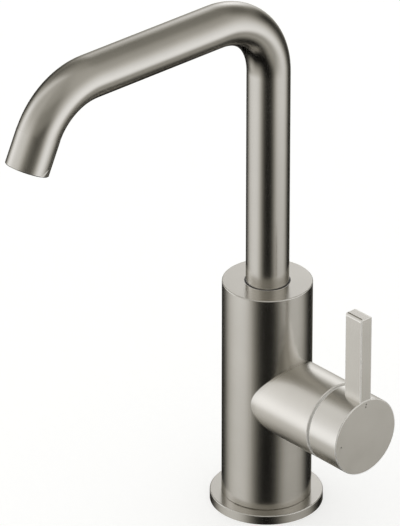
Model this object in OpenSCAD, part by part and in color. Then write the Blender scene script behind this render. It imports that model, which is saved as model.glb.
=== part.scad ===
// Basin mixer tap: an upright body with a side handle and a tall bent swivel spout.
// Millimetres. The origin is the centre of the flange's underside, on the deck, and +Z is up.
// The spout reaches along -Y and the handle's axis lies along +X.
// The handle tips about a pivot inside the branch to open the water, and turns to mix it.

/* [Body] */
// Diameter of the upright body
body_d = 46; // [45:0.5:54]
// Height of the body's top face above the deck
body_h = 126; // [120:1:150]
// Radius of the turned outer edges
edge_r = 0.5; // [0.2:0.1:0.8]
// Diameter of the hose chamber in the body's foot
chamber_d = 38; // [37.5:0.5:40]
// Height of the hose chamber's ceiling above the deck
chamber_h = 30; // [26:1:38]

/* [Flange] */
// Diameter of the base flange
flange_d = 58; // [56:1:70]
// Thickness of the base flange
flange_h = 5; // [4:0.5:8]
// Diameter of the opening for the hoses and the fixing stud
flange_hole_d = 33; // [32:0.5:34]
// Height of the centring lip that stands in the hose chamber
lip_h = 5; // [3:0.5:7]
// Inner diameter of the deck gasket
gasket_in_d = 41; // [38:1:44]
// Width of the deck gasket
gasket_w = 6; // [4:0.5:6.5]
// Thickness of the deck gasket
gasket_h = 2; // [1:0.5:3]

/* [Inlets] */
// Thickness of the brass insert that the hoses and the stud screw into
insert_h = 10; // [9:0.5:12]
// Distance between the two hose threads
inlet_spacing = 16; // [15:0.5:19]
// How far the hose threads lie off the body's axis, towards the handle
inlet_shift = 5; // [4:0.5:6]
// Core diameter of the hose threads
inlet_core_d = 9; // [8:0.2:10]
// Depth of the hose threads
inlet_depth = 7; // [5:0.5:8]
// Diameter of the supply passages
passage_d = 6; // [5:0.5:7]
// Core diameter of the fixing stud's thread
stud_core_d = 6.8; // [6:0.2:8]
// How far the fixing stud lies off the body's axis, away from the handle
stud_shift = 11.5; // [10:0.5:12.5]
// Diameter of the insert's two screws
insert_screw_d = 4; // [3:0.5:5]
// Length of the insert's two screws under the head
insert_screw_l = 18; // [15:1:20]

/* [Spout] */
// Outer diameter of the spout tube
tube_d = 22; // [20:0.5:24]
// Wall of the spout tube
tube_wall = 1.5; // [1:0.1:2]
// Height of the arm's centre line above the deck
arm_h = 279.6; // [240:1:320]
// Reach from the body's axis to the corner where the arm and the outlet's centre lines meet
corner_reach = 140.5; // [120:0.5:180]
// Centre-line radius of both bends
bend_r = 36; // [30:1:44]
// Angle of the outlet end from the vertical
outlet_tilt = 25; // [0:1:40]
// Straight length of the outlet end
outlet_len = 17.6; // [16:0.2:30]
// Metal between the cartridge bore and the floor of the spout socket
socket_web = 6.4; // [4:0.2:9]
// How deep the tube itself stands in the body
tube_seat = 4; // [3.6:0.2:6]
// Length of the spigot's nose inside the tube
nose_l = 12; // [8:1:16]
// How far the spout swings to each side
spout_swing = 60; // [30:5:75]

/* [Branch and handle] */
// Height of the handle's axis above the deck
handle_h = 66; // [60:1:70]
// Diameter of the branch and of the handle's cap
branch_d = 41; // [40:0.5:44]
// Reach from the body's axis to the branch's end
branch_reach = 52; // [48:0.5:60]
// Radius of the edges on both sides of the groove between the branch and the cap
groove_edge = 0.7; // [0.4:0.1:0.8]
// Width of the open groove between the branch and the cap
groove_w = 1.3; // [1:0.1:2]
// Length of the cap along its axis
cap_l = 19.7; // [19:0.1:24]
// How far the pivot lies inside the branch's end
pivot_back = 14; // [13:0.5:15]
// Width of the lever along the handle's axis
lever_w = 11.6; // [9:0.1:13]
// Thickness of the lever across the handle's axis
lever_t = 7.4; // [5:0.1:9]
// Height of the lever's top above the handle's axis
lever_rise = 67.5; // [50:0.5:90]
// Radius of the two top edges that run along the lever's width
lever_crown = 1.6; // [1:0.1:3]
// Radius of the lever's other edges
lever_edge = 0.6; // [0.3:0.1:0.9]
// How far the lever tips outwards
lever_tilt = 20; // [12:1:22]
// How far the handle turns forwards
handle_turn = 90; // [60:5:110]
// Metal between the stem's hole and the cap's outer face
cap_web = 5; // [4:0.5:6]
// Diameter of the grub screw in the cap
cap_screw_d = 4; // [3:0.5:4]
// Length of the grub screw in the cap
cap_screw_l = 8; // [6:1:10]

/* [Cartridge] */
// Outer diameter of the ceramic cartridge
cartridge_d = 35; // [34:0.5:36]
// Wall of the cartridge's housing
housing_wall = 3; // [2.5:0.1:3.2]
// Thickness of the lip that holds the rotor in
housing_lip = 3; // [2.6:0.1:4]
// Thickness of the cartridge's base
cartridge_base_h = 3.6; // [3:0.1:4]
// Thickness of each ceramic disc
disc_h = 4; // [3:0.1:4.5]
// Diameter of the sliding disc
slide_disc_d = 24; // [22:0.5:24.5]
// Thickness of the carrier that moves the sliding disc
carrier_h = 4.5; // [4:0.1:5]
// Width of the carrier between the rotor's guides
carrier_w = 19.2; // [16:0.2:20]
// Thickness of the rotor's collar
collar_h = 8; // [7:0.5:9]
// Diameter of the rotor's neck
neck_d = 20; // [19:0.5:21]
// How far the rotor's neck stands above the pivot
neck_rise = 5; // [4:0.5:6]
// Width and height of the square stem
stem_w = 8; // [7:0.2:8.4]
// Diameter of the pivot pin
pin_d = 4; // [3:0.2:4.4]
// Diameter of the stem's inner finger
finger_d = 4.4; // [4:0.1:4.8]
// Diameter of the ball on the finger
ball_d = 5.6; // [5.2:0.1:6]
// Diameter of the ring nut over the cartridge
nut_d = 37; // [36.6:0.1:37.6]
// Length of the ring nut
nut_l = 8; // [6:0.5:9]
// Width across the flats of the nut's hexagon
nut_hex = 24; // [22:0.5:26]
// Wall of the dome over the nut
dome_wall = 1; // [0.8:0.1:1.4]
// Thickness of the ring that limits the hot end
limit_ring_h = 2.6; // [2:0.1:3]

/* [Fits] */
// Radial clearance of a shaft that turns in its hole
run_fit = 0.06; // [0.03:0.01:0.1]
// Gap beside parts that are only placed in each other
place_fit = 0.1; // [0.05:0.01:0.15]
// Gap between parts that pass each other without touching
swing_gap = 0.35; // [0.3:0.01:0.5]
// Gap between the cap's socket and the dome
dome_gap = 0.6; // [0.4:0.1:0.8]
// Water film between faces that slide on each other
film = 0.05; // [0.02:0.01:0.1]

/* [Hidden] */
$fn = 96;

// Colours
SATIN = [0.71, 0.69, 0.65];
SATIN_PALE = [0.76, 0.74, 0.70];
BRASS = [0.78, 0.64, 0.36];
STEEL = [0.62, 0.63, 0.65];
WHITE_CERAMIC = [0.93, 0.91, 0.86];
GREY_CERAMIC = [0.55, 0.55, 0.57];
PLASTIC = [0.30, 0.31, 0.33];
WHITE_PLASTIC = [0.86, 0.86, 0.84];
RUBBER = [0.12, 0.12, 0.12];

// Radii of the main turned forms
body_r = body_d / 2;
branch_r = branch_d / 2;
chamber_r = chamber_d / 2;
tube_r = tube_d / 2;
tube_in_r = tube_r - tube_wall;
cartridge_r = cartridge_d / 2;
nut_r = nut_d / 2;
neck_r = neck_d / 2;
stem_half = stem_w / 2;

// Stations along the handle's axis, as distances from the body's axis
pivot_x = branch_reach - pivot_back;
lip_in = pivot_x - 1;
shoulder_x = lip_in + housing_lip;
collar_top = lip_in - swing_gap + film;
collar_x = collar_top - collar_h;
carrier_x = collar_x - swing_gap - carrier_h;
slide_disc_x = carrier_x - disc_h;
fixed_disc_x = slide_disc_x - film - disc_h;
cartridge_x = fixed_disc_x - cartridge_base_h;
seat_gap = 0.2;
seat_x = cartridge_x - seat_gap;
neck_top = pivot_x + neck_rise;
nut_top = shoulder_x + nut_l;
cap_x = branch_reach + groove_w;
face_x = cap_x + cap_l;

// Ball-shaped clearance in the cap: it clears the branch's end at every tilt
socket_r = norm([pivot_back - groove_edge, branch_r - groove_edge]) + groove_edge + swing_gap;
dome_r = socket_r - dome_gap;
stem_corner_angle = atan(stem_half * sqrt(2) / (dome_r - dome_wall));
dome_open_r = dome_r * sin(lever_tilt + stem_corner_angle) + 1;

// The finger below the pivot drives the sliding disc
finger_l = pivot_x - carrier_x - ball_d / 2 - swing_gap;
disc_travel = finger_l * lever_tilt * PI / 180;
disc_rest = -disc_travel / 2;
housing_in_r = cartridge_r - housing_wall;
collar_r = housing_in_r - swing_gap;
slide_disc_r = slide_disc_d / 2;
slot_half_w = stem_half + place_fit;
slot_half_h = stem_half / cos(lever_tilt) + (neck_top - pivot_x) * tan(lever_tilt) + 0.5;

// Ports of the cartridge, as Y and Z from its axis. The sliding disc covers both inlet ports at rest.
// Tipping the handle slides the disc's chamber over the cold port when the lever stands up, over the
// hot port when it is turned forwards, and over a share of each in between
port_r = 2.1;
port_reach = slide_disc_r - disc_travel / 2 - port_r - film;
COLD_PORT = [0, port_reach];
HOT_PORT = [-port_reach, 0];
OUTLET_PORT = [1, -1];
mix_chamber_r = port_reach - port_r;
port_seal_r = 3.3;
port_seal_wire = 0.8;

// Passages in the casting
cross_bore_r = 2.6;
bore_lap = 0.4;
outlet_way_x = -3;

// Spout socket and spigot, whose two rings lie at shares of its length above the washer
cartridge_bore_r = cartridge_r + place_fit;
nut_bore_r = nut_r + run_fit;
socket_floor = handle_h + cartridge_bore_r + socket_web;
spout_bore_r = tube_r + run_fit;
washer_h = 1.2;
spigot_z = socket_floor + washer_h + film;
tube_foot = body_h - tube_seat;
o_ring_wire = 1.1;
groove_depth = 2 * o_ring_wire + film;
spigot_l = tube_foot - spigot_z;
low_ring_share = 0.13;
high_ring_share = 0.585;
low_ring_z = spigot_z + low_ring_share * spigot_l;
high_ring_z = spigot_z + high_ring_share * spigot_l;
stop_z = (low_ring_z + high_ring_z) / 2;
stop_channel_w = 5;
stop_channel_depth = 2;
waterway_r = tube_in_r - 3;
guide_ring_h = 2.2;
guide_ring_w = 0.6;
guide_ring_drop = 0.4;

// The screw behind the body whose tip runs in the spigot's channel
stop_screw_r = 2.5;
stop_tip_r = 1.5;
stop_screw_l = 8;
stop_screw_start = spout_bore_r + 0.8;
stop_tip_reach = tube_r - stop_channel_depth + 0.4;
tip_half_angle = asin(stop_tip_r / stop_tip_reach);
stop_half_angle = spout_swing + tip_half_angle + 2;

// Spout centre line
bend_angle = 90 - outlet_tilt;
// The arm's end is rounded to a hundredth, so that the run and the bend meet exactly
arm_end = round(100 * (corner_reach - bend_r * tan(bend_angle / 2))) / 100;
bend_z = arm_h - bend_r;
// The turned outlet end is this much thicker on both sides, over a short lap on the bend
outlet_proud = 0.1;
outlet_lap = 0.8;
outlet_chamfer = 0.4;

// Aerator
aerator_r = tube_in_r - outlet_proud - place_fit;
aerator_recess = 0.8;
aerator_l = 10;
aerator_wall = 1.2;
aerator_lip = 1;
cell_pitch = 2.1;
cell_w = 1.7;
filter_pitch = 3.1;
filter_cell_w = 2.4;

// Handle fixings
stem_hole_half = stem_half + film;
stem_hole_x = face_x - cap_web;
cap_screw_x = stem_hole_x - cap_screw_d / 2 - 0.4;
plug_l = 3;
hex_key = 2;

// Turns its children so that what points up points along the handle's axis
module on_handle_axis(x) {
    translate([x, 0, handle_h]) rotate([0, 90, 0]) children();
}

// Turns its children so that they lie at an angle along the second bend, which starts at 0
module on_outlet_bend(angle) {
    translate([0, -arm_end, bend_z]) rotate([90, 0, 90]) rotate([0, 0, 90 + angle]) children();
}

// Puts its children in the outlet's mouth, with +Z running back up the tube
module at_outlet() {
    on_outlet_bend(bend_angle) translate([bend_r, outlet_len, 0]) rotate([90, 0, 0]) children();
}

// Turned bar whose edges are rounded at its foot and its top
module turned_bar(r, h, foot, top) {
    rotate_extrude() {
        square([r - foot, h / 2]);
        translate([0, h / 2]) square([r - top, h / 2]);
        translate([0, foot]) square([r, h - foot - top]);
        translate([r - foot, foot]) circle(foot);
        translate([r - top, h - top]) circle(top);
    }
}

module ring(outer, inner, h) {
    rotate_extrude() translate([inner, 0]) square([outer - inner, h]);
}

module o_ring(r, wire) {
    rotate_extrude() translate([r, 0]) circle(wire);
}

module hex_socket(across_flats, depth) {
    cylinder(h = depth, r = across_flats / sqrt(3), $fn = 6);
}

// Places one child at each hose inlet
module each_inlet(z) {
    for (side = [-1, 1]) translate([inlet_shift, side * inlet_spacing / 2, z]) children();
}

insert_screw_x = -7;
insert_screw_y = 12;
module each_insert_screw(z) {
    for (side = [-1, 1]) translate([insert_screw_x, side * insert_screw_y, z]) children();
}

// Turns its children to the handle's axis and puts them at one port of the cartridge
module at_port(port, x) {
    translate([x, port[0], handle_h + port[1]]) rotate([0, 90, 0]) children();
}

module each_port(x) {
    for (port = [COLD_PORT, HOT_PORT, OUTLET_PORT]) at_port(port, x) children();
}

// Body: one turned and bored casting with the branch for the handle
module body() {
    color(SATIN) difference() {
        union() {
            translate([0, 0, flange_h])
                turned_bar(body_r, body_h - flange_h, edge_r, edge_r);
            on_handle_axis(0) turned_bar(branch_r, branch_reach, groove_edge, groove_edge);
        }
        translate([0, 0, flange_h - 1]) cylinder(h = chamber_h - flange_h + 1, r = chamber_r);
        on_handle_axis(seat_x) cylinder(h = branch_reach, r = cartridge_bore_r);
        on_handle_axis(shoulder_x) cylinder(h = branch_reach, r = nut_bore_r);
        translate([0, 0, socket_floor]) cylinder(h = body_h, r = spout_bore_r);
        translate([0, 0, body_h - guide_ring_h - guide_ring_drop])
            cylinder(h = body_h, r = spout_bore_r + guide_ring_w + film);
        body_waterways();
        each_insert_screw(chamber_h - 1)
            cylinder(h = insert_screw_l - insert_h + 3, r = insert_screw_d / 2 + film);
        translate([0, 0, stop_z]) rotate([-90, 0, 0]) cylinder(h = body_r + 1, r = stop_screw_r + film);
    }
}

// Ways from the hose insert to the cartridge, cold behind and hot in front, and from it up to the spout
module body_waterways() {
    cold_z = handle_h + COLD_PORT[1];
    rise(inlet_shift, inlet_spacing / 2, chamber_h - 1, cold_z + cross_bore_r + bore_lap);
    translate([inlet_shift, inlet_spacing / 2, cold_z]) rotate([90, 0, 0])
        cylinder(h = inlet_spacing / 2 + port_r + bore_lap, r = cross_bore_r);
    port_bore(COLD_PORT, inlet_shift - bore_lap);
    rise(inlet_shift, -inlet_spacing / 2, chamber_h - 1, handle_h + HOT_PORT[1] + port_r + bore_lap);
    port_bore(HOT_PORT, inlet_shift - bore_lap);
    rise(outlet_way_x, OUTLET_PORT[0], handle_h + OUTLET_PORT[1] - port_r - bore_lap, socket_floor + 1);
    port_bore(OUTLET_PORT, outlet_way_x);
}

// Upright passage between two heights
module rise(x, y, from, to) {
    translate([x, y, from]) cylinder(h = to - from, r = passage_d / 2);
}

// Passage that opens at one of the cartridge's ports
module port_bore(port, from) {
    at_port(port, from) cylinder(h = seat_x - from + 1, r = port_r);
}

module base_flange() {
    hole_r = flange_hole_d / 2;
    flange_r = flange_d / 2;
    lip_r = chamber_r - place_fit;
    lip_z = flange_h + lip_h;
    color(SATIN) difference() {
        rotate_extrude() {
            translate([hole_r, 0]) square([lip_r - hole_r, lip_z]);
            translate([hole_r, 0]) square([flange_r - hole_r, flange_h - edge_r]);
            translate([hole_r, 0]) square([flange_r - edge_r - hole_r, flange_h]);
            translate([flange_r - edge_r, flange_h - edge_r]) circle(edge_r);
        }
        translate([0, 0, -1])
            ring(gasket_in_d / 2 + gasket_w + film, gasket_in_d / 2 - film, gasket_h + 1);
    }
}

module deck_gasket() {
    color(RUBBER) ring(gasket_in_d / 2 + gasket_w, gasket_in_d / 2, gasket_h);
}

seal_seat_r = passage_d / 2 + 0.8;
seal_ring_w = 1.4;
seal_ring_h = 1.2;
module base_insert() {
    color(BRASS) difference() {
        translate([0, 0, chamber_h - insert_h]) cylinder(h = insert_h, r = chamber_r - place_fit);
        each_inlet(chamber_h - insert_h - 1) cylinder(h = inlet_depth + 1, r = inlet_core_d / 2);
        each_inlet(chamber_h - insert_h) cylinder(h = insert_h + 1, r = passage_d / 2);
        each_inlet(chamber_h - seal_ring_h)
            ring(seal_seat_r + seal_ring_w + film, seal_seat_r - film, seal_ring_h + 1);
        translate([-stud_shift, 0, chamber_h - insert_h - 1])
            cylinder(h = insert_h + 2, r = stud_core_d / 2);
        each_insert_screw(chamber_h - insert_h - 1)
            cylinder(h = insert_h + 2, r = insert_screw_d / 2 + place_fit);
    }
}

screw_head_h = 2.4;
module insert_screws() {
    color(STEEL) each_insert_screw(chamber_h - insert_h) difference() {
        union() {
            cylinder(h = insert_screw_l, r = insert_screw_d / 2);
            translate([0, 0, -screw_head_h]) cylinder(h = screw_head_h, r = insert_screw_d * 0.85);
        }
        translate([0, 0, -screw_head_h - 1]) hex_socket(insert_screw_d * 0.6, screw_head_h);
    }
}

module inlet_seals() {
    color(RUBBER) each_inlet(chamber_h - seal_ring_h)
        ring(seal_seat_r + seal_ring_w, seal_seat_r, seal_ring_h);
}

module cartridge_base() {
    color(WHITE_PLASTIC) difference() {
        on_handle_axis(cartridge_x) cylinder(h = cartridge_base_h, r = cartridge_r);
        each_port(cartridge_x - 1) cylinder(h = cartridge_base_h + 2, r = port_r);
        each_port(cartridge_x - 1) ring(
            port_seal_r + port_seal_wire + film, port_seal_r - port_seal_wire - film,
            2 * port_seal_wire - seat_gap + 1);
    }
}

module cartridge_seals() {
    color(RUBBER) each_port(seat_x + port_seal_wire) o_ring(port_seal_r, port_seal_wire - film);
}

module fixed_disc() {
    color(WHITE_CERAMIC) difference() {
        on_handle_axis(fixed_disc_x) cylinder(h = disc_h, r = housing_in_r - place_fit);
        each_port(fixed_disc_x - 1) cylinder(h = disc_h + 2, r = port_r);
    }
}

module cartridge_housing() {
    lip_in_r = neck_r + run_fit;
    color(PLASTIC) on_handle_axis(0) rotate_extrude() polygon([
        [housing_in_r, fixed_disc_x], [cartridge_r, fixed_disc_x], [cartridge_r, shoulder_x],
        [lip_in_r, shoulder_x], [lip_in_r, lip_in], [housing_in_r, lip_in]
    ]);
}

// The rotor's lug runs in the opening of the limit ring and stops at its ends
lug_angle = 20;
lug_margin = 3;
lug_r = neck_r + 1.2;
limit_in_r = lug_r - 0.8;
limit_out_r = lug_r + 0.7;
module hot_limit_ring() {
    open_angle = handle_turn + lug_angle + 2 * lug_margin;
    color("firebrick") on_handle_axis(shoulder_x)
        rotate([0, 0, handle_turn + lug_angle + lug_margin])
            rotate_extrude(angle = 360 - open_angle)
                translate([limit_in_r, 0]) square([limit_out_r - limit_in_r, limit_ring_h]);
}

module ring_nut() {
    plain_h = limit_ring_h + 0.4;
    color(BRASS) on_handle_axis(shoulder_x) difference() {
        cylinder(h = nut_l, r = nut_r);
        translate([0, 0, -1]) cylinder(h = plain_h + 1, r = limit_out_r + place_fit);
        translate([0, 0, plain_h - 0.1]) hex_socket(nut_hex, nut_l);
    }
}

// Dome over the nut, whose rim rests on the branch's end and is the floor of the groove
module dome_cover() {
    skirt_z = nut_top - pivot_x;
    rim_z = branch_reach + film - pivot_x;
    color(SATIN) on_handle_axis(pivot_x) rotate_extrude() difference() {
        intersection() {
            circle(dome_r);
            union() {
                translate([dome_open_r, skirt_z]) square([nut_r - dome_open_r, dome_r]);
                translate([dome_open_r, rim_z]) square([branch_r - dome_open_r, dome_r]);
            }
        }
        intersection() {
            circle(dome_r - dome_wall);
            square([nut_r - dome_wall, dome_r]);
        }
    }
}

module spout_guide_ring() {
    color(RUBBER) translate([0, 0, body_h - guide_ring_drop - guide_ring_h])
        ring(spout_bore_r + guide_ring_w, spout_bore_r, guide_ring_h);
}

module spout_slide_washer() {
    color(WHITE_PLASTIC) translate([0, 0, socket_floor])
        ring(spout_bore_r - place_fit, waterway_r, washer_h);
}

module spout_stop_screw() {
    color(STEEL) translate([0, 0, stop_z]) rotate([-90, 0, 0]) difference() {
        union() {
            translate([0, 0, stop_screw_start]) cylinder(h = stop_screw_l, r = stop_screw_r);
            translate([0, 0, stop_tip_reach])
                cylinder(h = stop_screw_start - stop_tip_reach, r = stop_tip_r);
        }
        translate([0, 0, stop_screw_start + stop_screw_l - hex_key]) hex_socket(hex_key, hex_key + 1);
    }
}

// Rotor: turns with the handle, guides the carrier and holds the pivot pin
module rotor() {
    guide_x = carrier_x + swing_gap;
    guide_half = carrier_w / 2 + place_fit;
    color(WHITE_PLASTIC) difference() {
        union() {
            on_handle_axis(guide_x) cylinder(h = collar_top - guide_x, r = collar_r);
            on_handle_axis(pivot_x - 2) cylinder(h = neck_top - pivot_x + 2, r = neck_r);
            on_handle_axis(shoulder_x + 0.3) rotate_extrude(angle = lug_angle)
                translate([neck_r - 1, 0]) square([lug_r - neck_r + 1, limit_ring_h - 0.4]);
        }
        translate([guide_x - 1, -guide_half, handle_h - collar_r])
            cube([collar_x - guide_x + 1, 2 * guide_half, 2 * collar_r]);
        translate([guide_x, -slot_half_w, handle_h - slot_half_h])
            cube([neck_top - guide_x + 1, 2 * slot_half_w, 2 * slot_half_h]);
        pivot_bore(pin_d / 2, 2 * pin_half_l);
    }
}

pin_half_l = neck_r - 0.5;
module pivot_bore(r, l) {
    translate([pivot_x, 0, handle_h]) rotate([90, 0, 0]) cylinder(h = l, r = r, center = true);
}

module pivot_pin() {
    color(STEEL) pivot_bore(pin_d / 2 - film / 2, 2 * pin_half_l - 0.2);
}

module sliding_disc() {
    chamber_depth = 2.2;
    color(GREY_CERAMIC) translate([0, 0, disc_rest]) on_handle_axis(slide_disc_x) difference() {
        cylinder(h = disc_h, r = slide_disc_r);
        translate([0, 0, -1]) cylinder(h = chamber_depth + 1, r = mix_chamber_r);
    }
}

module disc_carrier() {
    color(PLASTIC) difference() {
        intersection() {
            translate([0, 0, disc_rest]) on_handle_axis(carrier_x) cylinder(h = carrier_h, r = slide_disc_r);
            translate([carrier_x - 1, -carrier_w / 2, 0]) cube([carrier_h + 2, carrier_w, 2 * handle_h]);
        }
        on_handle_axis(carrier_x - 1) cylinder(h = carrier_h + 2, r = ball_d / 2 + 2 * place_fit);
    }
}

// Handle: cap and lever are one casting, flush on the outer face
module handle() {
    color(SATIN_PALE) difference() {
        union() {
            on_handle_axis(cap_x) turned_bar(branch_r, cap_l, groove_edge, edge_r);
            lever();
        }
        translate([pivot_x, 0, handle_h]) sphere(socket_r);
        translate([pivot_x, -stem_hole_half, handle_h - stem_hole_half])
            cube([stem_hole_x - pivot_x, 2 * stem_hole_half, 2 * stem_hole_half]);
        translate([cap_screw_x, 0, handle_h - branch_r - 1])
            cylinder(h = branch_r + 1, r = cap_screw_d / 2 + film);
    }
}

// Rectangle with rounded corners at its top, or at its foot too
module rounded(w, h, r, foot = false) {
    low = foot ? r : 0;
    translate([0, low]) square([w, h - r - low]);
    translate([r, 0]) square([w - 2 * r, h]);
    for (x = [r, w - r]) translate([x, h - r]) circle(r);
    if (foot) for (x = [r, w - r]) translate([x, r]) circle(r);
}

module lever() {
    translate([face_x - lever_w, -lever_t / 2, handle_h]) intersection() {
        linear_extrude(lever_rise) rounded(lever_w, lever_t, lever_edge, foot = true);
        translate([0, lever_t, 0]) rotate([90, 0, 0])
            linear_extrude(lever_t) rounded(lever_w, lever_rise, lever_edge);
        rotate([90, 0, 90]) linear_extrude(lever_w) rounded(lever_t, lever_rise, lever_crown);
    }
}

module stem() {
    stem_end = stem_hole_x - 0.2;
    color(BRASS) difference() {
        union() {
            translate([pivot_x - stem_half, -stem_half, handle_h - stem_half])
                cube([stem_end - pivot_x + stem_half, stem_w, stem_w]);
            on_handle_axis(pivot_x - finger_l) cylinder(h = finger_l - 1, r = finger_d / 2);
            translate([pivot_x - finger_l, 0, handle_h]) sphere(ball_d / 2);
        }
        pivot_bore(pin_d / 2 + run_fit, 2 * stem_w);
    }
}

module handle_screw() {
    top = handle_h - stem_hole_half;
    color(STEEL) translate([cap_screw_x, 0, top - cap_screw_l]) difference() {
        cylinder(h = cap_screw_l, r = cap_screw_d / 2);
        translate([0, 0, -1]) hex_socket(hex_key, hex_key + 1);
    }
}

module screw_plug() {
    color(SATIN_PALE) translate([cap_screw_x, 0, handle_h - branch_r + 0.3])
        cylinder(h = plug_l, r = cap_screw_d / 2);
}

// Spout tube: runs and bends meet end to end, and the turned outlet end sleeves the last bend
module tube_section() {
    difference() {
        circle(tube_r);
        circle(tube_in_r);
    }
}

module tube_bend(angle) {
    rotate_extrude(angle = angle) translate([bend_r, 0]) tube_section();
}

module outlet_end() {
    outer = tube_r + outlet_proud;
    inner = tube_in_r - outlet_proud;
    top = outlet_len + outlet_lap;
    rotate_extrude() polygon([
        [inner, 0], [outer - outlet_chamfer, 0], [outer, outlet_chamfer], [outer, top], [inner, top]
    ]);
}

module spout_tube() {
    color(SATIN) union() {
        translate([0, 0, tube_foot]) linear_extrude(bend_z - tube_foot) tube_section();
        translate([0, -bend_r, bend_z]) rotate([90, 0, 90]) tube_bend(90);
        translate([0, -bend_r, arm_h]) rotate([90, 0, 0])
            linear_extrude(arm_end - bend_r) tube_section();
        on_outlet_bend(0) tube_bend(bend_angle);
        at_outlet() outlet_end();
    }
}

// Spigot: the brass foot of the spout, with grooves for its rings and the swing channel
module spout_spigot() {
    color(BRASS) difference() {
        union() {
            translate([0, 0, spigot_z]) cylinder(h = spigot_l, r = tube_r);
            translate([0, 0, spigot_z]) cylinder(h = spigot_l + nose_l, r = tube_in_r - film);
        }
        translate([0, 0, spigot_z - 1]) cylinder(h = spigot_l + nose_l + 2, r = waterway_r);
        for (z = [low_ring_z, high_ring_z])
            translate([0, 0, z - o_ring_wire - film])
                ring(tube_r + 1, tube_r - groove_depth, 2 * (o_ring_wire + film));
        translate([0, 0, stop_z - stop_channel_w / 2])
            rotate([0, 0, 90 - stop_half_angle]) rotate_extrude(angle = 2 * stop_half_angle)
                translate([tube_r - stop_channel_depth, 0]) square([stop_channel_depth + 1, stop_channel_w]);
    }
}

module spout_o_rings() {
    color(RUBBER) for (z = [low_ring_z, high_ring_z])
        translate([0, 0, z]) o_ring(tube_r - o_ring_wire, o_ring_wire - film / 2);
}

// Hexagonal cells in rings round a middle one, as far out as reach allows
module cells(pitch, across_flats, reach, h) {
    count = floor(reach / pitch);
    for (i = [-count : count], j = [-count : count]) {
        x = pitch * (i + j / 2);
        y = pitch * j * sqrt(3) / 2;
        if (norm([x, y]) + across_flats / 2 <= reach)
            translate([x, y, -1]) rotate([0, 0, 30]) hex_socket(across_flats, h + 2);
    }
}

module aerator_housing() {
    color(PLASTIC) at_outlet() translate([0, 0, aerator_recess]) union() {
        ring(aerator_r, aerator_r - aerator_wall, aerator_l);
        ring(aerator_r - aerator_wall / 2, aerator_r - aerator_wall - aerator_lip, aerator_lip);
    }
}

module aerator_insert() {
    insert_r = aerator_r - aerator_wall - place_fit;
    insert_h = aerator_l - aerator_lip - 2.2;
    color(WHITE_PLASTIC) at_outlet() translate([0, 0, aerator_recess + aerator_lip]) difference() {
        cylinder(h = insert_h, r = insert_r);
        cells(cell_pitch, cell_w, insert_r - aerator_lip, insert_h);
    }
}

module aerator_filter() {
    filter_r = aerator_r - aerator_wall - place_fit;
    filter_h = 1.2;
    color(PLASTIC) at_outlet() translate([0, 0, aerator_recess + aerator_l - filter_h - 0.6]) difference() {
        cylinder(h = filter_h, r = filter_r);
        cells(filter_pitch, filter_cell_w, filter_r - 0.8, filter_h);
    }
}

module aerator_seal() {
    color(RUBBER) at_outlet() translate([0, 0, aerator_recess + aerator_l])
        ring(aerator_r, aerator_r - 2.4, 1.5);
}

body();
base_flange();
deck_gasket();
base_insert();
insert_screws();
inlet_seals();
cartridge_base();
cartridge_seals();
fixed_disc();
cartridge_housing();
hot_limit_ring();
ring_nut();
dome_cover();
spout_guide_ring();
spout_slide_washer();
spout_stop_screw();
rotor();
pivot_pin();
sliding_disc();
disc_carrier();
handle();
stem();
handle_screw();
screw_plug();
spout_tube();
spout_spigot();
spout_o_rings();
aerator_housing();
aerator_insert();
aerator_filter();
aerator_seal();
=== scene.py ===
"""The looks of the basin mixer tap: satin metal, its inner parts' finishes and a plain studio round it."""

import math

import bpy
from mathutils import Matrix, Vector

MM = 0.001

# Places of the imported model's edges, in metres
BODY_R = 23.0 * MM
BODY_TOP = 126.0 * MM
SPOUT_BORE_R = 11.7 * MM
FLANGE_R = 29.0 * MM
FLANGE_TOP = 5.0 * MM
BRANCH_R = 20.5 * MM
BRANCH_Z = 66.0 * MM
BRANCH_END = 52.0 * MM
CAP_START = 53.3 * MM
CAP_FACE_X = 73.0 * MM
LEVER_CENTRE = (67.2 * MM, 0.0, 99.75 * MM)
LEVER_HALF = (5.8 * MM, 3.7 * MM, 33.75 * MM)
TUBE_R = 11.1 * MM
MOUTH = (0.0, -157.6 * MM, 242.9 * MM)
OUTLET_TILT = -25.0

# The brushed metal's grain and clouds: how fine they are, per metre, and how far they move its roughness
GRAIN_LENGTHWAYS = 60.0
GRAIN_CROSSWAYS = 9000.0
TUBE_GRAIN_LENGTHWAYS = 90.0
TUBE_GRAIN_CROSSWAYS = 2600.0
GRAIN_DULLING = 0.03
CLOUD_SCALE = 38.0
CLOUD_DULLING = 0.04

# Along the metal's edges a painted highlight and wear: how wide and patchy they are, how pale the painted
# highlight is, how much duller the wear is than the rest, and how much of the light it scatters
EDGE_WEAR_AND_SHEEN = 0.9 * MM
PATCH_SCALE = 420.0
PATCHINESS = 0.6
EDGE_SHEEN_TONE = 1.25
EDGE_DULLING = 0.10
EDGE_SCATTER = 0.85

# How much narrower the painted edge highlight and wear are along the body's top edge, the flange's edge and
# round the cap's face
TOP_WEAR_AND_SHEEN_KEPT_BACK = 0.35 * MM
FACE_RIM_WEAR_AND_SHEEN_KEPT_BACK = 0.2 * MM

# The turned branch's finish against the upright body's: how much paler, which is painted light, and how
# much softer, and where it begins and is complete, outwards from the body's wall
BRANCH_PAINTED_LIGHT = 1.14
BRANCH_SOFTER = 0.08
BRANCH_BEGINS = BODY_R + 0.2 * MM
BRANCH_COMPLETE = BODY_R + 2.5 * MM

# Edges of the tube that turn by more than this many degrees stay sharp, and its seam is closed over this gap
SHARP_FROM = 25
SEAM_GAP = 0.001 * MM

# How fine the other finishes are, per metre
TOOL_MARK_SCALE = 2400.0
TARNISH_SCALE = 160.0
MOULD_CLOUD_SCALE = 90.0
THREAD_SCALE = 620.0

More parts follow.
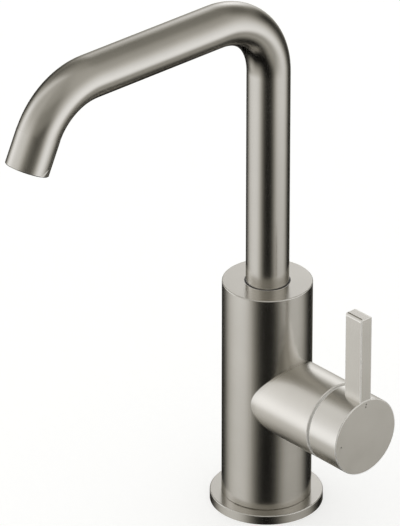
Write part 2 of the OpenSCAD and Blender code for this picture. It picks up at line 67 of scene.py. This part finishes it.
# Small engraved setting marks on the cap's face
DOT_RADIUS = 0.7 * MM
DOT_INK = (0.20, 0.20, 0.17)
DOT_DULLING = 0.2
FACE_DOTS = (
    (CAP_FACE_X, 0.1 * MM, BRANCH_Z + 17.0 * MM),
    (CAP_FACE_X, 0.4 * MM, BRANCH_Z + 18.4 * MM),
    (CAP_FACE_X, -16.4 * MM, BRANCH_Z - 0.1 * MM),
)

# The photograph's view, fitted to the tap's outlines: degrees and metres
VIEW_AZIMUTH = 48.103
VIEW_ELEVATION = 28.220
VIEW_DISTANCE = 3.306174
VIEW_AIM_HEIGHT = 0.120
VIEW_AIM_RIGHT = -0.033962
VIEW_AIM_UP = 0.0137
SENSOR_WIDTH = 36.0
FOCAL_PIXELS = 6561.176
PHOTO_HEIGHT = 526
SIGHT_END = 60

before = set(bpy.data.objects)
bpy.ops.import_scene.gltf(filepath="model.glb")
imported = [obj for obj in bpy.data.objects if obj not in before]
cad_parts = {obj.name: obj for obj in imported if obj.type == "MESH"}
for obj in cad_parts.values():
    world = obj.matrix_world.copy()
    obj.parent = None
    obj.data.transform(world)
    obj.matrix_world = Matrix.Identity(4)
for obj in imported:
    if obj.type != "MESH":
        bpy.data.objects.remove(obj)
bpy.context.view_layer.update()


def view_axes():
    """The camera's right, up and backward directions."""
    azimuth = math.radians(VIEW_AZIMUTH)
    elevation = math.radians(VIEW_ELEVATION)
    back = Vector(
        (
            math.sin(azimuth) * math.cos(elevation),
            -math.cos(azimuth) * math.cos(elevation),
            math.sin(elevation),
        )
    )
    right = Vector((math.cos(azimuth), math.sin(azimuth), 0))
    return right, back.cross(right), back


def add_camera():
    right, up, back = view_axes()
    aim = Vector((0, 0, VIEW_AIM_HEIGHT)) + right * VIEW_AIM_RIGHT + up * VIEW_AIM_UP
    camera = bpy.data.objects.new("camera", bpy.data.cameras.new("camera"))
    camera.location = aim + back * VIEW_DISTANCE
    camera.rotation_mode = "QUATERNION"
    camera.rotation_quaternion = (-back).to_track_quat("-Z", "Y")
    camera.data.sensor_width = SENSOR_WIDTH
    camera.data.lens = FOCAL_PIXELS * SENSOR_WIDTH / PHOTO_HEIGHT
    camera.data.clip_end = SIGHT_END
    bpy.context.scene.collection.objects.link(camera)
    bpy.context.scene.camera = camera


class Graph:
    """A material's node tree, with short calls for adding and joining nodes."""

    def __init__(self, name):
        self.material = bpy.data.materials.new(name)
        self.material.use_nodes = True
        self.nodes = self.material.node_tree.nodes
        self.links = self.material.node_tree.links
        self.shader = self.nodes["Principled BSDF"]
        self.output = self.nodes["Material Output"]

    def add(self, kind, inputs=None, **settings):
        node = self.nodes.new(kind)
        for key, value in settings.items():
            setattr(node, key, value)
        for key, value in (inputs or {}).items():
            if hasattr(value, "is_output"):
                self.links.new(value, node.inputs[key])
            else:
                node.inputs[key].default_value = value
        return node

    def ramp(self, factor, *stops):
        """A colour ramp over factor; each stop is (position, value or colour)."""
        node = self.add("ShaderNodeValToRGB", {"Fac": factor})
        elements = node.color_ramp.elements
        while len(elements) < len(stops):
            elements.new(0.5)
        for element, (position, value) in zip(elements, stops):
            element.position = position
            colour = value if isinstance(value, tuple) else (value, value, value)
            element.color = (*colour, 1)
        return node.outputs["Color"]

    def maths(self, operation, a, b=0.0, c=0.0):
        node = self.add("ShaderNodeMath", {0: a, 1: b, 2: c}, operation=operation)
        return node.outputs[0]

    def vector(self, operation, a, b=(0.0, 0.0, 0.0)):
        """A vector, or a number for LENGTH and DISTANCE."""
        outputs = self.add("ShaderNodeVectorMath", {0: a, 1: b}, operation=operation).outputs
        return outputs["Value" if operation in ("LENGTH", "DISTANCE") else "Vector"]

    def part_of(self, vector, axis):
        return self.add("ShaderNodeSeparateXYZ", {"Vector": vector}).outputs[axis]

    def scaled(self, vector, scale):
        return self.add("ShaderNodeMapping", {"Vector": vector, "Scale": scale}).outputs["Vector"]

    def between(self, value, low, high, at_low=0.0, at_high=1.0, shape="LINEAR"):
        """at_low where value is low or less, at_high where it is high or more, and a ramp between them."""
        inputs = {"Value": value, "From Min": low, "From Max": high, "To Min": at_low, "To Max": at_high}
        return self.add("ShaderNodeMapRange", inputs, interpolation_type=shape).outputs["Result"]

    def mix(self, colour, other, factor, way="MIX"):
        inputs = {"Factor": factor, 6: colour, 7: other}
        return self.add("ShaderNodeMix", inputs, data_type="RGBA", blend_type=way).outputs[2]

    def noise(self, vector, scale, detail=2.0, roughness=0.5):
        inputs = {"Vector": vector, "Scale": scale, "Detail": detail, "Roughness": roughness}
        return self.add("ShaderNodeTexNoise", inputs).outputs["Fac"]

    def surface(self, colour, roughness, height, strength, depth):
        """Joins the surface's colour, roughness and bump to the shader and returns the material."""
        bump = self.add("ShaderNodeBump", {"Height": height, "Strength": strength, "Distance": depth})
        self.links.new(colour, self.shader.inputs["Base Color"])
        self.links.new(roughness, self.shader.inputs["Roughness"])
        self.links.new(bump.outputs["Normal"], self.shader.inputs["Normal"])
        return self.material


def shade(colour, factor):
    return tuple(min(1.0, c * factor) for c in colour)


def place(g):
    """The point on the surface, in the row frame, in metres: the pieces' meshes hold their real places."""
    return g.add("ShaderNodeTexCoord").outputs["Object"]


def from_axis(g, point, axis, centre, tilt=0.0):
    """How far a point lies along an axis through centre, and how far from it. tilt turns it about X."""
    offset = g.vector("SUBTRACT", point, centre)
    if tilt:
        turn = {"Vector": offset, "Angle": math.radians(tilt)}
        offset = g.add("ShaderNodeVectorRotate", turn, rotation_type="X_AXIS").outputs[0]
    across = tuple(0.0 if i == axis else 1.0 for i in range(3))
    away = g.vector("LENGTH", g.vector("MULTIPLY", offset, across))
    return g.add("ShaderNodeCombineXYZ", {"X": g.part_of(offset, axis), "Y": away}).outputs[0]


def nearest(g, gaps):
    total = gaps[0]
    for gap in gaps[1:]:
        total = g.maths("MINIMUM", total, gap)
    return total


def ring_gap(g, place_by_axis, *rings):
    """Distance to the nearest of some round edges, each given as (along the axis, radius)."""
    return nearest(g, [g.vector("DISTANCE", place_by_axis, (*ring, 0.0)) for ring in rings])


def box_gap(g, point, centre, half):
    """Distance to the nearest straight edge of a box."""
    size = g.vector("ABSOLUTE", g.vector("SUBTRACT", point, centre))
    inset = g.vector("SUBTRACT", size, half)
    pairs = ((1.0, 1.0, 0.0), (1.0, 0.0, 1.0), (0.0, 1.0, 1.0))
    return nearest(g, [g.vector("LENGTH", g.vector("MULTIPLY", inset, pair)) for pair in pairs])


def close_to(g, gap, width):
    """1 up to a third of the width, then falling smoothly to 0."""
    return g.between(gap, width / 3, width, 1.0, 0.0, "SMOOTHSTEP")


def body_edges(g, point):
    upright = from_axis(g, point, 2, (0.0, 0.0, 0.0))
    branch = from_axis(g, point, 0, (0.0, 0.0, BRANCH_Z))
    top = ring_gap(g, upright, (BODY_TOP, BODY_R), (BODY_TOP, SPOUT_BORE_R))
    # Painted edge highlight and wear, kept narrower along the body's top
    top_kept_back = g.maths("ADD", top, TOP_WEAR_AND_SHEEN_KEPT_BACK)
    return nearest(g, [top_kept_back, ring_gap(g, branch, (BRANCH_END, BRANCH_R))])


def flange_edges(g, point):
    rim = ring_gap(g, from_axis(g, point, 2, (0.0, 0.0, 0.0)), (FLANGE_TOP, FLANGE_R))
    return g.maths("ADD", rim, TOP_WEAR_AND_SHEEN_KEPT_BACK)


def handle_edges(g, point):
    cap = from_axis(g, point, 0, (0.0, 0.0, BRANCH_Z))
    face_rim = g.maths("ADD", ring_gap(g, cap, (CAP_FACE_X, BRANCH_R)), FACE_RIM_WEAR_AND_SHEEN_KEPT_BACK)
    # Below the top of the cap the lever's box is inside it, so its edges are put 1 m away
    on_cap = g.maths("LESS_THAN", g.part_of(point, 2), BRANCH_Z + BRANCH_R)
    lever = g.maths("ADD", box_gap(g, point, LEVER_CENTRE, LEVER_HALF), on_cap)
    return nearest(g, [ring_gap(g, cap, (CAP_START, BRANCH_R)), face_rim, lever])


def tube_edges(g, point):
    return ring_gap(g, from_axis(g, point, 2, MOUTH, OUTLET_TILT), (0.0, TUBE_R))


def on_branch(g, point):
    """1 on the branch, falling to 0 where it meets the upright body."""
    radius = g.part_of(from_axis(g, point, 2, (0.0, 0.0, 0.0)), 1)
    return g.between(radius, BRANCH_BEGINS, BRANCH_COMPLETE, shape="SMOOTHSTEP")


def satin_metal(name, colour, lay, roughness=0.24, grain=1.0, metallic=1.0, edges=None, dots=(), part=None):
    """Fine brushed metal. lay stretches a point's coordinates into the grain's. edges gives the distance to
    its edges, which get a painted highlight and are dulled by wear, dots are its engraved marks, and part is
    1 where it is softer and painted paler, as light."""
    g = Graph(name)
    g.shader.inputs["Metallic"].default_value = metallic
    point = place(g)
    lines = g.noise(lay(g, point), 1.0, detail=4.0, roughness=0.62)
    clouds = g.noise(point, CLOUD_SCALE, detail=3.0)
    tint = g.ramp(clouds, (0.25, shade(colour, 0.965)), (0.75, shade(colour, 1.03)))
    streak = g.ramp(lines, (0.2, 1.0 - 0.03 * grain), (0.8, 1.0))
    tone = g.mix(tint, streak, 1.0, "MULTIPLY")
    dull = g.between(lines, 0.25, 0.75, roughness - GRAIN_DULLING, roughness + GRAIN_DULLING)
    dull = g.maths("MULTIPLY_ADD", clouds, CLOUD_DULLING, g.maths("SUBTRACT", dull, CLOUD_DULLING / 2))
    if part:
        inside = part(g, point)
        # Painted light: the branch's colour is made paler, as if more lit; it is also made softer
        factor = g.maths("MULTIPLY_ADD", inside, BRANCH_PAINTED_LIGHT - 1.0, 1.0)
        paler = g.add("ShaderNodeVectorMath", {0: tone, "Scale": factor}, operation="SCALE")
        tone = paler.outputs["Vector"]
        dull = g.maths("MULTIPLY_ADD", inside, BRANCH_SOFTER, dull)
    if edges:
        # Painted highlight along the edges: they are painted paler and less metallic; handling wear dulls
        # them
        patchy = g.maths("MULTIPLY_ADD", g.noise(point, PATCH_SCALE), PATCHINESS, PATCHINESS)
        wear_and_sheen = g.maths("MULTIPLY", close_to(g, edges(g, point), EDGE_WEAR_AND_SHEEN), patchy)
        tone = g.mix(tone, (*shade(colour, EDGE_SHEEN_TONE), 1.0), wear_and_sheen)
        dull = g.maths("MULTIPLY_ADD", wear_and_sheen, EDGE_DULLING, dull)
        g.links.new(g.maths("MULTIPLY_ADD", wear_and_sheen, -EDGE_SCATTER, 1.0), g.shader.inputs["Metallic"])
    if dots:
        gap = nearest(g, [g.vector("DISTANCE", point, dot) for dot in dots])
        inside = close_to(g, gap, DOT_RADIUS)
        tone = g.mix(tone, (*DOT_INK, 1.0), inside)
        dull = g.maths("MULTIPLY_ADD", inside, DOT_DULLING, dull)
    return g.surface(tone, dull, lines, 0.05 * grain, 0.02 * MM)


def around_z(g, point):
    """Grain that runs round the Z axis: fine along Z, coarse round it."""
    return g.scaled(point, (GRAIN_LENGTHWAYS, GRAIN_LENGTHWAYS, GRAIN_CROSSWAYS))


def around_x(g, point):
    """Grain that runs round the branch's axis."""
    return g.scaled(point, (GRAIN_CROSSWAYS, GRAIN_LENGTHWAYS, GRAIN_LENGTHWAYS))


def along_tube(g, point):
    """Grain that runs round the bent tube, and so across its middle line, in the plane of Y and Z."""
    return g.scaled(point, (TUBE_GRAIN_LENGTHWAYS, TUBE_GRAIN_CROSSWAYS, TUBE_GRAIN_CROSSWAYS))


def machined_metal(name, colour, roughness, around=(1.0, 1.0, 1.0)):
    """Turned or plated metal with fine tool marks, drawn out along the axes where around is small."""
    g = Graph(name)
    g.shader.inputs["Metallic"].default_value = 1.0
    point = place(g)
    marks = g.noise(g.scaled(point, tuple(TOOL_MARK_SCALE * a for a in around)), 1.0, detail=3.0)
    tone = g.ramp(g.noise(point, TARNISH_SCALE), (0.3, shade(colour, 0.92)), (0.7, colour))
    dull = g.ramp(marks, (0.3, roughness - 0.05), (0.7, roughness + 0.06))
    return g.surface(tone, dull, marks, 0.12, 0.04 * MM)


def moulded(name, colour, roughness, pits=0.1, scale=1400.0, gloss=0.5):
    """Moulded plastic or rubber, or lapped ceramic, with a very fine surface texture."""
    g = Graph(name)
    g.shader.inputs["Specular IOR Level"].default_value = gloss
    point = place(g)
    fine = g.noise(point, scale, detail=3.0)
    clouds = g.noise(point, MOULD_CLOUD_SCALE)
    tone = g.ramp(clouds, (0.3, shade(colour, 0.9)), (0.7, shade(colour, 1.05)))
    dull = g.ramp(fine, (0.3, roughness - 0.06), (0.7, roughness + 0.06))
    return g.surface(tone, dull, fine, pits, 0.05 * MM)


def filter_mesh(name, colour):
    """The fine woven screen behind the aerator's outlet."""
    g = Graph(name)
    turn = {"Vector": place(g), "Rotation": (math.radians(-OUTLET_TILT), 0, 0)}
    turned = g.add("ShaderNodeMapping", turn).outputs["Vector"]
    threads = {"Vector": turned, "Scale": THREAD_SCALE}
    across = g.add("ShaderNodeTexWave", threads, bands_direction="X")
    along = g.add("ShaderNodeTexWave", threads, bands_direction="Y")
    weave = g.maths("MAXIMUM", across.outputs["Fac"], along.outputs["Fac"])
    tone = g.ramp(weave, (0.3, shade(colour, 0.35)), (0.8, shade(colour, 1.4)))
    return g.surface(tone, g.ramp(weave, (0.3, 0.65), (0.8, 0.45)), weave, 0.5, 0.1 * MM)


def paint(node, material):
    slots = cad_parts[node].data.materials
    slots.clear()
    slots.append(material)


SATIN = (0.71, 0.69, 0.65)
# Painted shade: the flange's satin is the body's, made darker
SHADED_FLANGE_SATIN = shade(SATIN, 0.97)
HANDLE = (0.76, 0.74, 0.70)
# Painted light: the dome cover, the floor of the groove between branch and cap, is paler and less metallic
# than the rest so the groove shows mid-grey
PAINTED_LIGHT_SATIN = (0.86, 0.85, 0.81)
BRASS = (0.78, 0.64, 0.36)
STEEL = (0.62, 0.63, 0.65)
WHITE_CERAMIC = (0.93, 0.91, 0.86)
GREY_CERAMIC = (0.55, 0.55, 0.57)
WHITE_PLASTIC = (0.86, 0.86, 0.84)
DARK_PLASTIC = (0.12, 0.12, 0.13)
RED_PLASTIC = (0.65, 0.10, 0.08)
RUBBER = (0.06, 0.06, 0.06)


def paint_all():
    finishes = {
        "body": satin_metal("satin_body", SATIN, around_z, edges=body_edges, part=on_branch),
        "base_flange": satin_metal("satin_flange_painted_shade", SHADED_FLANGE_SATIN, around_z, edges=flange_edges),
        "spout_tube": satin_metal("satin_tube", SATIN, along_tube, edges=tube_edges),
        # Painted light in the groove: pale, half-metallic satin
        "dome_cover": satin_metal("satin_dome_painted_light", PAINTED_LIGHT_SATIN, around_x, roughness=0.45, metallic=0.4),
        "handle": satin_metal(
            "satin_handle", HANDLE, around_x, 0.25, grain=0.4, edges=handle_edges, dots=FACE_DOTS
        ),
        "screw_plug": satin_metal("satin_plug", HANDLE, around_z, roughness=0.3),
        "base_insert": machined_metal("brass_turned", BRASS, 0.34, (0.03, 0.03, 1.0)),
        "ring_nut": machined_metal("brass_nut", BRASS, 0.34, (1.0, 0.03, 0.03)),
        "stem": machined_metal("brass_stem", BRASS, 0.3, (0.04, 1.0, 1.0)),
        "spout_spigot": machined_metal("brass_spigot", BRASS, 0.3, (0.03, 0.03, 1.0)),
        "insert_screws": machined_metal("steel_screws", STEEL, 0.3),
        "spout_stop_screw": machined_metal("steel_stop", STEEL, 0.32),
        "pivot_pin": machined_metal("steel_pin", STEEL, 0.22, (0.05, 1.0, 0.05)),
        "handle_screw": machined_metal("steel_grub", STEEL, 0.35),
        "fixed_disc": moulded("ceramic_white", WHITE_CERAMIC, 0.16, pits=0.02, scale=3000.0, gloss=0.6),
        "sliding_disc": moulded("ceramic_grey", GREY_CERAMIC, 0.16, pits=0.02, scale=3000.0, gloss=0.6),
        "cartridge_base": moulded("plastic_white_foot", WHITE_PLASTIC, 0.42),
        "rotor": moulded("plastic_white_rotor", WHITE_PLASTIC, 0.4),
        "spout_slide_washer": moulded("plastic_white_washer", WHITE_PLASTIC, 0.36),
        "aerator_insert": moulded("plastic_white_aerator", WHITE_PLASTIC, 0.45),
        "spout_guide_ring": moulded("plastic_dark_ring", DARK_PLASTIC, 0.5),
        "cartridge_housing": moulded("plastic_dark_housing", DARK_PLASTIC, 0.45),
        "disc_carrier": moulded("plastic_dark_carrier", DARK_PLASTIC, 0.45),
        "aerator_housing": moulded("plastic_dark_aerator", DARK_PLASTIC, 0.48),
        "aerator_filter": filter_mesh("filter_weave", DARK_PLASTIC),
        "hot_limit_ring": moulded("plastic_red", RED_PLASTIC, 0.42),
        "deck_gasket": moulded("rubber_gasket", RUBBER, 0.75, pits=0.25, scale=900.0, gloss=0.35),
        "inlet_seals": moulded("rubber_inlets", RUBBER, 0.6, pits=0.15, gloss=0.4),
        "cartridge_seals": moulded("rubber_cartridge", RUBBER, 0.6, pits=0.15, gloss=0.4),
        "spout_o_rings": moulded("rubber_spout", RUBBER, 0.5, pits=0.1, gloss=0.4),
        "aerator_seal": moulded("rubber_aerator", RUBBER, 0.6, pits=0.15, gloss=0.4),
    }
    for node, material in finishes.items():
        paint(node, material)


def smooth_seams(node):
    """Lets a round CAD node shade smoothly across the seams of its surfaces; its real edges stay sharp."""
    tree = bpy.data.node_groups.new("smooth_seams", "GeometryNodeTree")
    tree.interface.new_socket("Geometry", in_out="INPUT", socket_type="NodeSocketGeometry")
    tree.interface.new_socket("Geometry", in_out="OUTPUT", socket_type="NodeSocketGeometry")
    nodes, links = tree.nodes, tree.links
    plain = nodes.new("GeometryNodeRemoveAttribute")
    plain.inputs["Name"].default_value = "custom_normal"
    merge = nodes.new("GeometryNodeMergeByDistance")
    merge.inputs["Distance"].default_value = SEAM_GAP
    angle = nodes.new("GeometryNodeInputMeshEdgeAngle")
    gentle = nodes.new("ShaderNodeMath")
    gentle.operation = "LESS_THAN"
    gentle.inputs[1].default_value = math.radians(SHARP_FROM)
    smooth = nodes.new("GeometryNodeSetShadeSmooth")
    smooth.domain = "EDGE"
    links.new(nodes.new("NodeGroupInput").outputs[0], plain.inputs["Geometry"])
    links.new(plain.outputs["Geometry"], merge.inputs["Geometry"])
    links.new(merge.outputs["Geometry"], smooth.inputs["Geometry"])
    links.new(angle.outputs["Unsigned Angle"], gentle.inputs[0])
    links.new(gentle.outputs[0], smooth.inputs["Shade Smooth"])
    links.new(smooth.outputs["Geometry"], nodes.new("NodeGroupOutput").inputs[0])
    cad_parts[node].modifiers.new("smooth_seams", "NODES").node_group = tree


def direction(rel, elevation=0.0):
    """Unit vector at an azimuth measured from the photograph's camera, anticlockwise seen from above."""
    azimuth = math.radians(VIEW_AZIMUTH + rel)
    e = math.radians(elevation)
    return Vector((math.sin(azimuth) * math.cos(e), -math.cos(azimuth) * math.cos(e), math.sin(e)))


# The soft lights that the metal mirrors. An azimuth is measured from the camera, and a glow is the
# brightness at some elevations, from the bottom up. The values began as a rounded fit to the photograph
# and were then changed.
SOFT_LIGHTS = {
    "left": {
        "azimuth": -69,
        "half_width": 33.5,
        "squareness": 3,
        "glow": ((-60, 0), (-45, 0.35), (-30, 0.6), (-18, 1.06), (-5, 1.04), (13, 0.8), (25, 0.45), (90, 0)),
    },
    "right": {
        "azimuth": 70,
        "half_width": 40,
        "squareness": 4,
        "glow": ((-60, 0), (-40, 0.45), (-30, 0.26), (-17, 1.1), (5, 0.92), (14, 0.82), (25, 0.43), (90, 0)),
    },
    "rear_left": {
        "azimuth": -110,
        "half_width": 18,
        "squareness": 2,
        "glow": ((-65, 0), (-45, 0.45), (-35, 0.5), (-28, 0.26), (-16, 0.95), (5, 0.9), (90, 0.3)),
    },
    "back": {
        "azimuth": 172,
        "half_width": 16,
        "squareness": 2,
        "glow": ((-40, 0), (-15, 0.4), (5, 0.85), (22, 1.3), (37, 0.55), (50, 0)),
    },
    "front": {
        "azimuth": -12,
        "half_width": 50,
        "squareness": 2,
        "glow": ((-15, 0), (-4, 0.24), (14, 0.03), (50, 0.2), (90, 0)),
    },
}
# The glow of the room between them
ROOM_GLOW = ((-25, 0), (0, 0.03), (13, 0), (24, 0.2), (40, 0.12), (90, 0.42))
# The drape is a warm grey where it is dim, and whiter as it gets brighter
DIM_TINT = (1.0, 0.945, 0.79)
TINT_LOSS = (0.0, 0.055, 0.22)
DRAPE_RADIUS = 2.4
AZIMUTH_STEP = 4
ELEVATION_STEP = 2


def brightness(glow, elevation):
    """A glow's brightness at an elevation, in straight lines between its steps and level beyond them."""
    if elevation <= glow[0][0]:
        return glow[0][1]
    for (low, dim), (high, bright) in zip(glow, glow[1:]):
        if elevation <= high:
            return dim + (bright - dim) * (elevation - low) / (high - low)
    return glow[-1][1]


def studio_level(rel, elevation):
    total = brightness(ROOM_GLOW, elevation)
    for light in SOFT_LIGHTS.values():
        away = abs((rel - light["azimuth"] + 180) % 360 - 180)
        fading = math.exp(-((away / light["half_width"]) ** light["squareness"]))
        total += brightness(light["glow"], elevation) * fading
    return total


def studio_colour(level):
    tinted = [level * min(1.0, tint + loss * level) for tint, loss in zip(DIM_TINT, TINT_LOSS)]
    return (*tinted, 1.0)


def add_studio():
    """What the metal mirrors: a round drape whose glow follows the soft lights."""
    azimuths = range(0, 360, AZIMUTH_STEP)
    elevations = range(-90, 91, ELEVATION_STEP)
    corners = [direction(rel, rise) * DRAPE_RADIUS for rise in elevations for rel in azimuths]
    glow = [studio_colour(studio_level(rel, rise)) for rise in elevations for rel in azimuths]
    n = len(azimuths)
    faces = [
        (j * n + i, j * n + (i + 1) % n, (j + 1) * n + (i + 1) % n, (j + 1) * n + i)
        for j in range(len(elevations) - 1)
        for i in range(n)
    ]
    g = Graph("drape")
    colour = g.add("ShaderNodeAttribute", attribute_name="glow").outputs["Color"]
    emission = g.add("ShaderNodeEmission", {"Color": colour, "Strength": 1.0})
    g.links.new(emission.outputs[0], g.output.inputs["Surface"])
    g.nodes.remove(g.shader)
    g.material.cycles.emission_sampling = "NONE"
    drape = stage_mesh("drape", corners, faces, g.material)
    attribute = drape.data.attributes.new("glow", "FLOAT_COLOR", "POINT")
    for item, value in zip(attribute.data, glow):
        item.color = value
    for ray in ("camera", "diffuse", "shadow", "transmission", "volume_scatter"):
        setattr(drape, "visible_" + ray, False)


def stage_mesh(name, corners, faces, material):
    mesh = bpy.data.meshes.new(name)
    mesh.from_pydata([tuple(c) for c in corners], [], faces)
    mesh.materials.append(material)
    sheet = bpy.data.objects.new(name, mesh)
    bpy.context.scene.collection.objects.link(sheet)
    return sheet


# The floor's paper, and the glow that lifts it to white for what sees it directly
DARKER_PAPER = (0.61, 0.61, 0.60)
PALER_PAPER = (0.63, 0.63, 0.62)
FIBRE_SCALE = 300.0
FLOOR_RADIUS = 10.0
FLOOR_STEPS = 96
FLOOR_GLOW = 0.52
STUDIO_WHITE = (1.0, 1.0, 0.995, 1.0)


def add_floor():
    """A pale floor that keeps the tap's shadow. Reflections don't show it: they show the drape."""
    corners = [(0, 0, 0)]
    corners += [direction(360 * i / FLOOR_STEPS) * FLOOR_RADIUS for i in range(FLOOR_STEPS)]
    faces = [(0, i + 1, (i + 1) % FLOOR_STEPS + 1) for i in range(FLOOR_STEPS)]
    g = Graph("floor_paper")
    paper = g.ramp(g.noise(place(g), FIBRE_SCALE), (0.3, DARKER_PAPER), (0.7, PALER_PAPER))
    g.links.new(paper, g.shader.inputs["Base Color"])
    g.shader.inputs["Roughness"].default_value = 1.0
    g.shader.inputs["Specular IOR Level"].default_value = 0.0
    path = g.add("ShaderNodeLightPath")
    seen = g.maths("MAXIMUM", path.outputs["Is Camera Ray"], path.outputs["Is Glossy Ray"])
    seen = g.maths("MAXIMUM", seen, path.outputs["Is Transmission Ray"])
    glow = g.add("ShaderNodeEmission", {"Color": STUDIO_WHITE})
    g.links.new(g.maths("MULTIPLY", seen, FLOOR_GLOW), glow.inputs["Strength"])
    total = g.add("ShaderNodeAddShader")
    g.links.new(g.shader.outputs[0], total.inputs[0])
    g.links.new(glow.outputs[0], total.inputs[1])
    g.links.new(total.outputs[0], g.output.inputs["Surface"])
    g.material.cycles.emission_sampling = "NONE"
    floor = stage_mesh("floor", corners, faces, g.material)
    floor.visible_glossy = False


# How bright the world is for the objects, and for what sees it directly
WORLD_LEVEL = 0.8
WORLD_WHITE = 0.99


def add_world():
    """Plain white light from all round, and white behind the floor's edge."""
    world = bpy.data.worlds.new("studio")
    world.use_nodes = True
    nodes, links = world.node_tree.nodes, world.node_tree.links
    background = nodes["Background"]
    background.inputs["Color"].default_value = STUDIO_WHITE
    path = nodes.new("ShaderNodeLightPath")
    seen = nodes.new("ShaderNodeMath")
    seen.operation = "MAXIMUM"
    links.new(path.outputs["Is Camera Ray"], seen.inputs[0])
    links.new(path.outputs["Is Transmission Ray"], seen.inputs[1])
    mirrored = nodes.new("ShaderNodeMath")
    mirrored.operation = "MAXIMUM"
    links.new(seen.outputs[0], mirrored.inputs[0])
    links.new(path.outputs["Is Glossy Ray"], mirrored.inputs[1])
    strength = nodes.new("ShaderNodeMapRange")
    strength.inputs["To Min"].default_value = WORLD_LEVEL
    strength.inputs["To Max"].default_value = WORLD_WHITE
    links.new(mirrored.outputs[0], strength.inputs["Value"])
    links.new(strength.outputs["Result"], background.inputs["Strength"])
    bpy.context.scene.world = world


add_camera()
paint_all()
smooth_seams("spout_tube")
add_floor()
add_world()
add_studio()
bpy.context.scene.view_settings.view_transform = "Standard"
